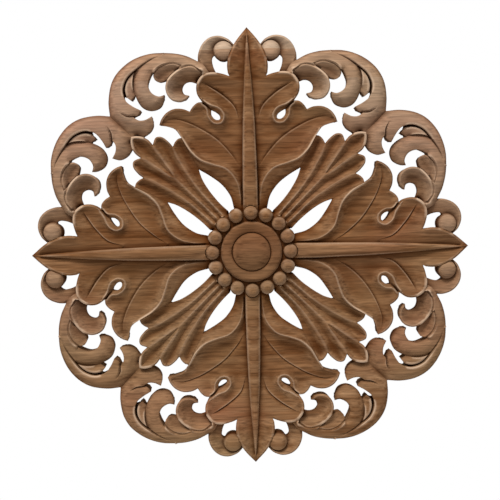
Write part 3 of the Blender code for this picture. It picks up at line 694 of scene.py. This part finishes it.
def relief(flat, faces):
    """The points' heights: each form bends smoothly through its crests and hollows, like a thin sheet.

    Given too are the topmost form at each point, and how far an edge there may be eased.
    """
    layer = layer_of(flat)
    height = np.zeros(len(flat))
    fixed = np.zeros(len(flat), bool)
    creased = np.zeros(len(flat), bool)
    ease = np.zeros(len(flat))
    for i, form in enumerate(carving):
        own = np.flatnonzero(layer == i)
        if not len(own):
            continue
        points = flat[own]
        if isinstance(form, Turned):
            height[own] = form.height(points)
            fixed[own] = True
            continue
        lines = [(edge.curve - (0, 0, edge.drop if edge.rim else 0), EDGE_REACH, True,
                  0 if edge.rim else edge.drop) for edge in form.edges]
        lines += [(line, TOUCH, True, 0) for line in form.held + form.crests]
        lines += [(line, TOUCH, False, 0) for line in form.hollows]
        starts = np.vstack([line[:-1] for line, _, _, _ in lines])
        ends = np.vstack([line[1:] for line, _, _, _ in lines])
        count = [len(line) - 1 for line, _, _, _ in lines]
        reach, sharp, drop = (np.repeat([entry[k] for entry in lines], count) for k in (1, 2, 3))
        apart, which, along, _ = nearest(points, starts, ends)
        height[own] = starts[which, 2] + along * (ends[which, 2] - starts[which, 2])
        held = apart < reach[which]
        fixed[own] = held
        creased[own] = held & sharp[which]
        on_edge = held & (drop[which] > 0) & (apart < TOUCH)
        ease[own[on_edge]] = drop[which][on_edge]
    solid = (layer[faces] == layer[faces[:, :1]]).all(axis=1)
    sheet = faces[solid]
    first, second, pull, area = stiffness(flat, sheet)
    pairs = np.sort(np.vstack([sheet[:, [0, 1]], sheet[:, [1, 2]], sheet[:, [2, 0]]]), axis=1)
    border, times = np.unique(pairs, axis=0, return_counts=True)
    border = border[times == 1]
    on_rib = flat[:, 0] == 0
    on_diagonal = flat[:, 0] == flat[:, 1]
    mirrored = on_rib[border].all(axis=1) | on_diagonal[border].all(axis=1)
    bends = (area > 0) & ~creased
    bends[border[~mirrored].ravel()] = False
    weight = np.where(bends, 1 / np.maximum(area, LEAST_AREA), 0)
    total = np.bincount(first, pull, len(flat))
    tight = np.clip(pull, LEAST_TENSION, None)
    tight_total = np.maximum(np.bincount(first, tight, len(flat)), LEAST_PULL)
    free = ~fixed & (area > 0)

    def bent(z):
        return total * z - np.bincount(first, pull * z[second], len(flat))

    def tightened(z):
        return np.where(free, tight_total * z - np.bincount(first, tight * z[second], len(flat)), 0)

    def sprung(z):
        return np.where(free, bent(weight * bent(z)) + TENSION * tightened(z), 0)

    height = settled(height, tightened, tight_total)
    spring = weight * total**2 + np.bincount(first, pull**2 * weight[second], len(flat))
    height = settled(height, sprung, spring + TENSION * tight_total)
    return height, layer, ease


# A vein throws up a small lip on its right, and a groove fades out towards its ends.
LIP = 0.2
FADE_STEPS = 9


def cut_lines(flat, layer, height):
    """The veins and grooves: each a line of depths, with a width to its left and to its right."""
    for i, form in enumerate(carving):
        own = np.flatnonzero(layer == i)
        for points, left, right in form.cuts:
            line = smooth(points)
            apart, which, along, side = nearest(flat[own], line[:-1], line[1:])
            depth = line[which, 2] + along * (line[which + 1, 2] - line[which, 2])
            share = np.clip(1 - apart / np.where(side > 0, left, right), 0, 1)
            height[own] -= depth * np.where(side > 0, share**2, share)
            lip = np.clip(1 - np.abs(apart - 2 * right) / (2 * right), 0, 1)
            height[own] += LIP * depth * np.where(side > 0, 0, lip)
        for edge in form.edges:
            if not edge.moat:
                continue
            lower = np.flatnonzero((layer < i) & (layer >= 0))
            apart, which, _, _ = nearest(flat[lower], edge.curve[:-1], edge.curve[1:])
            ends = np.minimum(which, len(edge.curve) - 2 - which) / FADE_STEPS
            share = np.clip(1 - apart / edge.moat, 0, 1)
            height[lower] -= edge.depth * share * np.clip(ends, 0, 1)


# Free edges are eased in full, and the others by a share of the step down beside them.
EASED_SHARE = 0.4
flat, faces = flat_eighth()
height, layer, ease = relief(flat, faces)
cut_lines(flat, layer, height)
sides = np.vstack([faces[:, [0, 1]], faces[:, [1, 2]], faces[:, [2, 0]]])
known = {(int(a), int(b)) for a, b in sides}
on_rib = flat[:, 0] == 0
on_diagonal = flat[:, 0] == flat[:, 1]
rim = [(a, b) for a, b in sorted(known) if (b, a) not in known
       and not (on_rib[a] and on_rib[b]) and not (on_diagonal[a] and on_diagonal[b])]
step = np.zeros(len(flat))
lower = layer[sides[:, 1]] < layer[sides[:, 0]]
np.maximum.at(step, sides[lower, 0], height[sides[lower, 0]] - height[sides[lower, 1]])
lower = layer[sides[:, 0]] < layer[sides[:, 1]]
np.maximum.at(step, sides[lower, 1], height[sides[lower, 1]] - height[sides[lower, 0]])
step[[i for edge in rim for i in edge]] = np.inf
height -= np.minimum(ease, EASED_SHARE * step)


# Sawing out: the openings and the rim are cut through to the flat back, undercut a little
# so that the edges look thin, and the eighth is mirrored over the diagonal, across and down.
NAME = "carved_rosette"
MM = 0.001
UNDERCUT = 1.0
LESS_UNDERCUT = 0.6
EXACT = 1e-6


def inward_ways():
    """For each point of the rim, the way towards the wood, seen flat."""
    starts, ends = (flat[[edge[k] for edge in rim]] for k in (0, 1))
    way = ends - starts
    way /= np.linalg.norm(way, axis=1)[:, None]
    inwards = np.zeros((len(flat), 2))
    for k in (0, 1):
        np.add.at(inwards, [edge[k] for edge in rim], np.column_stack([-way[:, 1], way[:, 0]]))
    inwards[on_rib, 0] = 0
    inwards[on_diagonal] = inwards[on_diagonal].mean(axis=1)[:, None]
    return inwards / np.maximum(np.linalg.norm(inwards, axis=1), NEVER_ZERO)[:, None]


def flat_back():
    """The back's places and triangles.

    Its outline lies a little inwards, and less so where it would cross itself.
    """
    used = sorted({i for edge in rim for i in edge} | {int(np.argmin(np.linalg.norm(flat, axis=1)))})
    place = {old: new for new, old in enumerate(used)}
    edges = [(place[a], place[b]) for a, b in rim]
    for line in (on_rib, on_diagonal):
        along = sorted((i for i in used if line[i]), key=lambda i: flat[i, 1])
        edges += [(place[a], place[b]) for a, b in zip(along, along[1:])]
    inwards = inward_ways()[used]
    depth = np.full((len(used), 1), UNDERCUT)
    while True:
        hidden = flat[used] + depth * inwards
        found = delaunay_2d_cdt([Vector(p) for p in hidden], edges, [], 0, EXACT)
        crossed = [tuple(p) for p, made_of in zip(found[0], found[3]) if len(made_of) != 1]
        if not crossed:
            break
        for cross in crossed:
            depth[np.linalg.norm(hidden - cross, axis=1) < 2 * UNDERCUT] *= LESS_UNDERCUT
    points = np.array([tuple(p) for p in found[0]])
    triangles = np.array([tuple(f) for f in found[2]])
    starts, ends = (hidden[[edge[k] for edge in edges]] for k in (0, 1))
    triangles = triangles[enclosed(points[triangles].mean(axis=1), starts, ends)]
    behind = np.column_stack([flat[:, 0], np.zeros(len(flat)), flat[:, 1]])
    behind[used] = np.column_stack([hidden[:, 0], np.zeros(len(used)), hidden[:, 1]])
    return behind, [[used[found[3][i][0]] for i in face] for face in triangles]


def spread_out(reach):
    """The height at each point of the front, averaged over about a reach around it."""
    first, second, pull, area = stiffness(flat, faces)
    pull = np.maximum(pull, 0) * reach**2 / 2
    total = np.bincount(first, pull, len(flat))

    def flow(z):
        return (area + total) * z - np.bincount(first, pull * z[second], len(flat))

    return settled(height, flow, area + total, area * height)


front = np.column_stack([flat[:, 0], -height, flat[:, 1]])
behind, back_faces = flat_back()
shell = [tuple(int(i) for i in face) for face in faces]
shell += [(a, a + len(flat), b + len(flat), b) for a, b in rim]
shell += [tuple(i + len(flat) for i in reversed(face)) for face in back_faces]
mesh = bpy.data.meshes.new(NAME)
mesh.from_pydata([tuple(v) for v in np.vstack([front, behind]) * MM], [], shell)
piece = bpy.data.objects.new(NAME, mesh)
bpy.context.scene.collection.objects.link(piece)
bpy.context.view_layer.objects.active = piece
piece.select_set(True)

# Marks painted on the wood and kept at its points: pale crests, partly sanding wear and partly
# painted highlight; dark grooves, painted shade with some dirt; painted shade in the deep hollows;
# a painted highlight on the scrolls; and a duller boss. Each point of the front is compared with the
# mean height around it, over a short reach for the crests and a wide one for the hollows.
CREST_REACH = 0.9
GROOVE_REACH = 3.2
HOLLOW_REACH = 11.0
# How strongly each point's crest is painted pale, as sanding wear and painted highlight.
point_wear_and_highlight = np.array([form.crest_wear_and_highlight for form in carving])[layer]
for name, values in (("crest", (height - spread_out(CREST_REACH)) * point_wear_and_highlight),
                     ("deep", spread_out(GROOVE_REACH) - height),
                     ("hollow", spread_out(HOLLOW_REACH) - height),
                     ("scroll", layer < SCROLL_FORMS), ("boss", layer == BOSS_FORM)):
    marks = mesh.attributes.new(name, "FLOAT", "POINT")
    marks.data.foreach_set("value", np.concatenate([values, np.zeros(len(flat))]).astype(np.float32))

bpy.ops.object.mode_set(mode="EDIT")
bpy.ops.mesh.select_all(action="SELECT")
bpy.ops.mesh.delete_loose(use_verts=True, use_edges=True, use_faces=False)
bpy.ops.mesh.select_all(action="SELECT")
bpy.ops.mesh.quads_convert_to_tris(quad_method="SHORTEST_DIAGONAL", ngon_method="BEAUTY")
bpy.ops.object.mode_set(mode="OBJECT")

# The eighth is mirrored three times, and the halves are joined along the mirror lines.
MERGE = 0.01 * MM
bpy.ops.object.empty_add(rotation=(0, math.radians(45), 0))
diagonal_guide = bpy.context.object
bpy.context.view_layer.objects.active = piece
for name, guide, axes in (("over the diagonal", diagonal_guide, (True, False, False)),
                          ("across", None, (True, False, False)), ("down", None, (False, False, True))):
    modifier = piece.modifiers.new(name, "MIRROR")
    modifier.mirror_object = guide
    modifier.use_axis = axes
    modifier.merge_threshold = MERGE
    bpy.ops.object.modifier_apply(modifier=name)
bpy.data.objects.remove(diagonal_guide)


# The hand's unevenness: the surface wanders a little from the drawing, so that no two
# leaves are quite the same. The back and the outermost points stay where they are.
WANDER = 0.00016
WANDER_SIZE = 0.013
WANDER_SEED = 7
FRONT_SWELL = 0.00012
CALM_BORDER = 2.0
THICKNESS = 20.0
SHARP_ANGLE = math.radians(50)

count = len(piece.data.vertices)
points = np.empty(count * 3)
piece.data.vertices.foreach_get("co", points)
points = points.reshape(-1, 3)
noise.seed_set(WANDER_SEED)
drift = np.array([noise.noise_vector(Vector(p) / WANDER_SIZE) for p in points])
on_front = points[:, 1] < -MM
inwards = np.clip((REACH * MM - np.abs(points[:, [0, 2]]).max(axis=1)) / (CALM_BORDER * MM), 0, 1)
points[:, 0] += WANDER * drift[:, 0] * inwards
points[:, 2] += WANDER * drift[:, 2] * inwards
points[:, 1] += FRONT_SWELL * drift[:, 1] * on_front
points[:, 1] = np.clip(points[:, 1], -THICKNESS * MM, 0)
piece.data.vertices.foreach_set("co", points.ravel())
bpy.ops.object.shade_smooth_by_angle(angle=SHARP_ANGLE)

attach(piece, "root")
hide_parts("rosette")

# The wood: boards of plain unpolished hardwood glued edge to edge, their grain running
# across the piece. The crests are painted pale, partly as sanding wear and partly as painted
# highlight, and the grooves are painted dark, as painted shade with some dirt.
WOOD_LIGHT = (0.148, 0.0780, 0.0355, 1)
WOOD_DARK = (0.0765, 0.0320, 0.0112, 1)
WOOD_RED = (0.124, 0.0450, 0.0220, 1)
WOOD_OLIVE = (0.137, 0.0915, 0.0425, 1)
WOOD_PORE = (0.020, 0.006, 0.0015, 1)
# Painted highlight on the scrolls, growing towards the top of the piece.
WOOD_TOP_HIGHLIGHT = (0.39, 0.280, 0.185, 1)
# Painted shade in the hollows of the forms that are not scrolls.
WOOD_SHADE = (0.755, 0.56, 0.355, 1)
# Pale crests: partly sanding wear, partly painted highlight.
WOOD_WEAR_AND_HIGHLIGHT = (0.39, 0.280, 0.195, 1)
# Painted shade, with some dirt, in the grooves.
WOOD_GROOVE_SHADE_AND_DIRT = (0.032, 0.0080, 0.0015, 1)
WOOD_BOSS = (0.80, 0.74, 0.70, 1)
WOOD_ROUGHNESS = 0.55
STREAK_ROUGHNESS = 0.55
# Where each board begins, from the bottom up, and its tone.
JOINTS = [(-REACH, (1.17, 1.23, 1.36)), (-88, (1.08, 1.10, 1.18)), (-62, (1.05, 1.07, 1.15)),
          (43.4, (0.99, 0.97, 1.03)), (88.7, (1.03, 1.05, 1.14)), (114, (1.0, 0.96, 0.97)),
          (134.5, (1.22, 1.36, 1.55))]
# How close the streaks of each kind lie along the grain, through the wood and up, per metre.
YEAR_BANDS = (7, 230, 190)
RED_PATCHES = (8, 12, 14)
OLIVE_PATCHES = (6, 9, 11)
PORE_LINES = (14, 420, 560)
FIBRES = (70, 500, 950)


def carved_wood():
    """The boards' wood with its streaks, then the boards, then painted shade and highlight, wear and
    dirt.
    """
    material = bpy.data.materials.new("carved_wood")
    material.use_nodes = True
    tree = material.node_tree
    nodes, links = tree.nodes, tree.links
    shader = nodes["Principled BSDF"]
    shader.inputs["Roughness"].default_value = WOOD_ROUGHNESS
    shader.inputs["Specular IOR Level"].default_value = 0.0
    place = nodes.new("ShaderNodeTexCoord").outputs["Object"]

    def streaks(scale, detail=3.0):
        """Noise stretched along the grain."""
        mapping = nodes.new("ShaderNodeMapping")
        mapping.inputs["Scale"].default_value = scale
        texture = nodes.new("ShaderNodeTexNoise")
        texture.inputs["Scale"].default_value = 1.0
        texture.inputs["Detail"].default_value = detail
        texture.inputs["Roughness"].default_value = STREAK_ROUGHNESS
        links.new(place, mapping.inputs["Vector"])
        links.new(mapping.outputs["Vector"], texture.inputs["Vector"])
        return texture.outputs["Fac"]

    def ranged(value, low, high, to_low=0.0, to_high=1.0):
        """A value carried over from one range to another."""
        node = nodes.new("ShaderNodeMapRange")
        for name, number in (("From Min", low), ("From Max", high),
                             ("To Min", to_low), ("To Max", to_high)):
            node.inputs[name].default_value = number
        links.new(value, node.inputs["Value"])
        return node.outputs["Result"]

    def mixed(share, first, second, blend="MIX"):
        """A colour between the first and the second, or their product."""
        node = nodes.new("ShaderNodeMix")
        node.data_type = "RGBA"
        node.blend_type = blend
        for name, value in (("Factor", share), ("A", first), ("B", second)):
            socket = next(s for s in node.inputs if s.name == name and s.enabled)
            if isinstance(value, bpy.types.NodeSocket):
                links.new(value, socket)
            else:
                socket.default_value = value
        return next(s for s in node.outputs if s.enabled)

    def attribute(name):
        """A value kept at the points of the surface, that places the wear, dirt, painted shade and
        painted highlight.
        """
        node = nodes.new("ShaderNodeAttribute")
        node.attribute_name = name
        return node.outputs["Fac"]

    bands = ranged(streaks(YEAR_BANDS), 0.32, 0.68)
    colour = mixed(bands, WOOD_DARK, WOOD_LIGHT)
    colour = mixed(ranged(streaks(RED_PATCHES, 1.0), 0.5, 0.66, 0.0, 0.6), colour, WOOD_RED)
    colour = mixed(ranged(streaks(OLIVE_PATCHES, 1.0), 0.5, 0.72, 0.0, 0.6), colour, WOOD_OLIVE)
    lines = ranged(streaks(PORE_LINES, 2.0), 0.53, 0.68, 0.0, 0.4)
    colour = mixed(lines, colour, WOOD_PORE)

    axes = nodes.new("ShaderNodeSeparateXYZ")
    links.new(place, axes.inputs["Vector"])
    board = nodes.new("ShaderNodeValToRGB")
    board.color_ramp.interpolation = "CONSTANT"
    stops = board.color_ramp.elements
    stops.remove(stops[-1])
    for joint, tone in JOINTS:
        stops.new((joint + REACH) / (2 * REACH)).color = (*tone, 1)
    links.new(ranged(axes.outputs["Z"], -REACH * MM, REACH * MM), board.inputs["Fac"])

    # Painted shade: the forms that are not scrolls are darkened and reddened where they lie below the
    # mean height around them.
    shaded = mixed(1.0, colour, WOOD_SHADE, "MULTIPLY")
    on_leaf = mixed(ranged(attribute("hollow"), 0.0, 3.0, 0.1, 1.0), colour, shaded)
    # Painted highlight on the scrolls: paler towards the top of the piece and where they stand above the
    # mean height around them.
    painted_top_highlight = mixed(ranged(axes.outputs["Z"], -0.10, 0.15, 0.0, 0.42), colour, WOOD_TOP_HIGHLIGHT)
    on_scroll = mixed(ranged(attribute("hollow"), 4.0, -2.0), colour, painted_top_highlight)
    colour = mixed(attribute("scroll"), on_leaf, on_scroll)
    colour = mixed(1.0, colour, board.outputs["Color"], "MULTIPLY")
    dulled = mixed(1.0, colour, WOOD_BOSS, "MULTIPLY")
    colour = mixed(attribute("boss"), colour, dulled)
    fibres = ranged(streaks(FIBRES), 0.3, 0.7, 0.74, 1.24)
    colour = mixed(1.0, colour, fibres, "MULTIPLY")
    # Sanding wear and painted highlight: crests above the mean height close around them are painted
    # pale.
    crest_wear_and_highlight = ranged(attribute("crest"), 0.12, 0.65, 0.0, 0.6)
    colour = mixed(crest_wear_and_highlight, colour, WOOD_WEAR_AND_HIGHLIGHT)
    # Painted shade with some dirt: points below the mean height around them are painted dark.
    groove_shade_and_dirt = ranged(attribute("deep"), 0.2, 2.4, 0.0, 0.9)
    colour = mixed(groove_shade_and_dirt, colour, WOOD_GROOVE_SHADE_AND_DIRT)
    links.new(colour, shader.inputs["Base Color"])
    return material


piece.data.materials.clear()
piece.data.materials.append(carved_wood())

# The stage: a pale floor well below the piece, white surroundings, and one soft light from
# the front and above.
FLOOR_PLACE = (0, -0.05, -0.42)
FLOOR_WIDTH = 0.9
FLOOR_DEPTH = 0.6
FLOOR_COLOUR = (0.8, 0.8, 0.8, 1)
KEY_PLACE = (-0.56, -1.2, 2.0)
KEY_SIZE = 0.72
KEY_POWER = 100
bpy.ops.mesh.primitive_plane_add(size=1, location=FLOOR_PLACE)
floor = bpy.context.object
floor.name = "floor"
floor.scale = (FLOOR_WIDTH, FLOOR_DEPTH, 1)
bpy.ops.object.transform_apply(location=True, rotation=True, scale=True)
pale = bpy.data.materials.new("pale_floor")
pale.use_nodes = True
pale.node_tree.nodes["Principled BSDF"].inputs["Base Color"].default_value = FLOOR_COLOUR
pale.node_tree.nodes["Principled BSDF"].inputs["Roughness"].default_value = 0.7
floor.data.materials.append(pale)

world = bpy.data.worlds.new("studio")
world.use_nodes = True
bpy.context.scene.world = world
world.node_tree.nodes["Background"].inputs["Color"].default_value = (1, 1, 1, 1)
world.node_tree.nodes["Background"].inputs["Strength"].default_value = 1.0

bpy.ops.object.light_add(type="AREA", location=KEY_PLACE)
key = bpy.context.object
key.name = "key"
key.data.size = KEY_SIZE
key.data.energy = KEY_POWER
key.rotation_euler = (-key.location).to_track_quat("-Z", "Y").to_euler()

# The camera, a little above the middle of the piece and to its left, and turned slightly.
CAMERA_DISTANCE = 0.48
CAMERA_RISE = math.radians(5.2)
CAMERA_SIDE = math.radians(-1.1)
CAMERA_ROLL = math.radians(-1.26)
VIEW_WIDTH = 0.3402
SENSOR_WIDTH = 36.0
AIM = Vector((-0.001, -0.011, 0.0009))
towards = Vector((math.sin(CAMERA_SIDE) * math.cos(CAMERA_RISE),
                  -math.cos(CAMERA_SIDE) * math.cos(CAMERA_RISE), math.sin(CAMERA_RISE)))
bpy.ops.object.camera_add(location=AIM + CAMERA_DISTANCE * towards)
camera = bpy.context.object
turn = (-towards).to_track_quat("-Z", "Y").to_matrix()
camera.rotation_euler = (turn @ Matrix.Rotation(CAMERA_ROLL, 3, "Z")).to_euler()
camera.data.sensor_width = SENSOR_WIDTH
camera.data.lens = SENSOR_WIDTH * CAMERA_DISTANCE / VIEW_WIDTH
camera.data.clip_start = 0.01
bpy.context.scene.camera = camera
bpy.context.scene.view_settings.view_transform = "Standard"
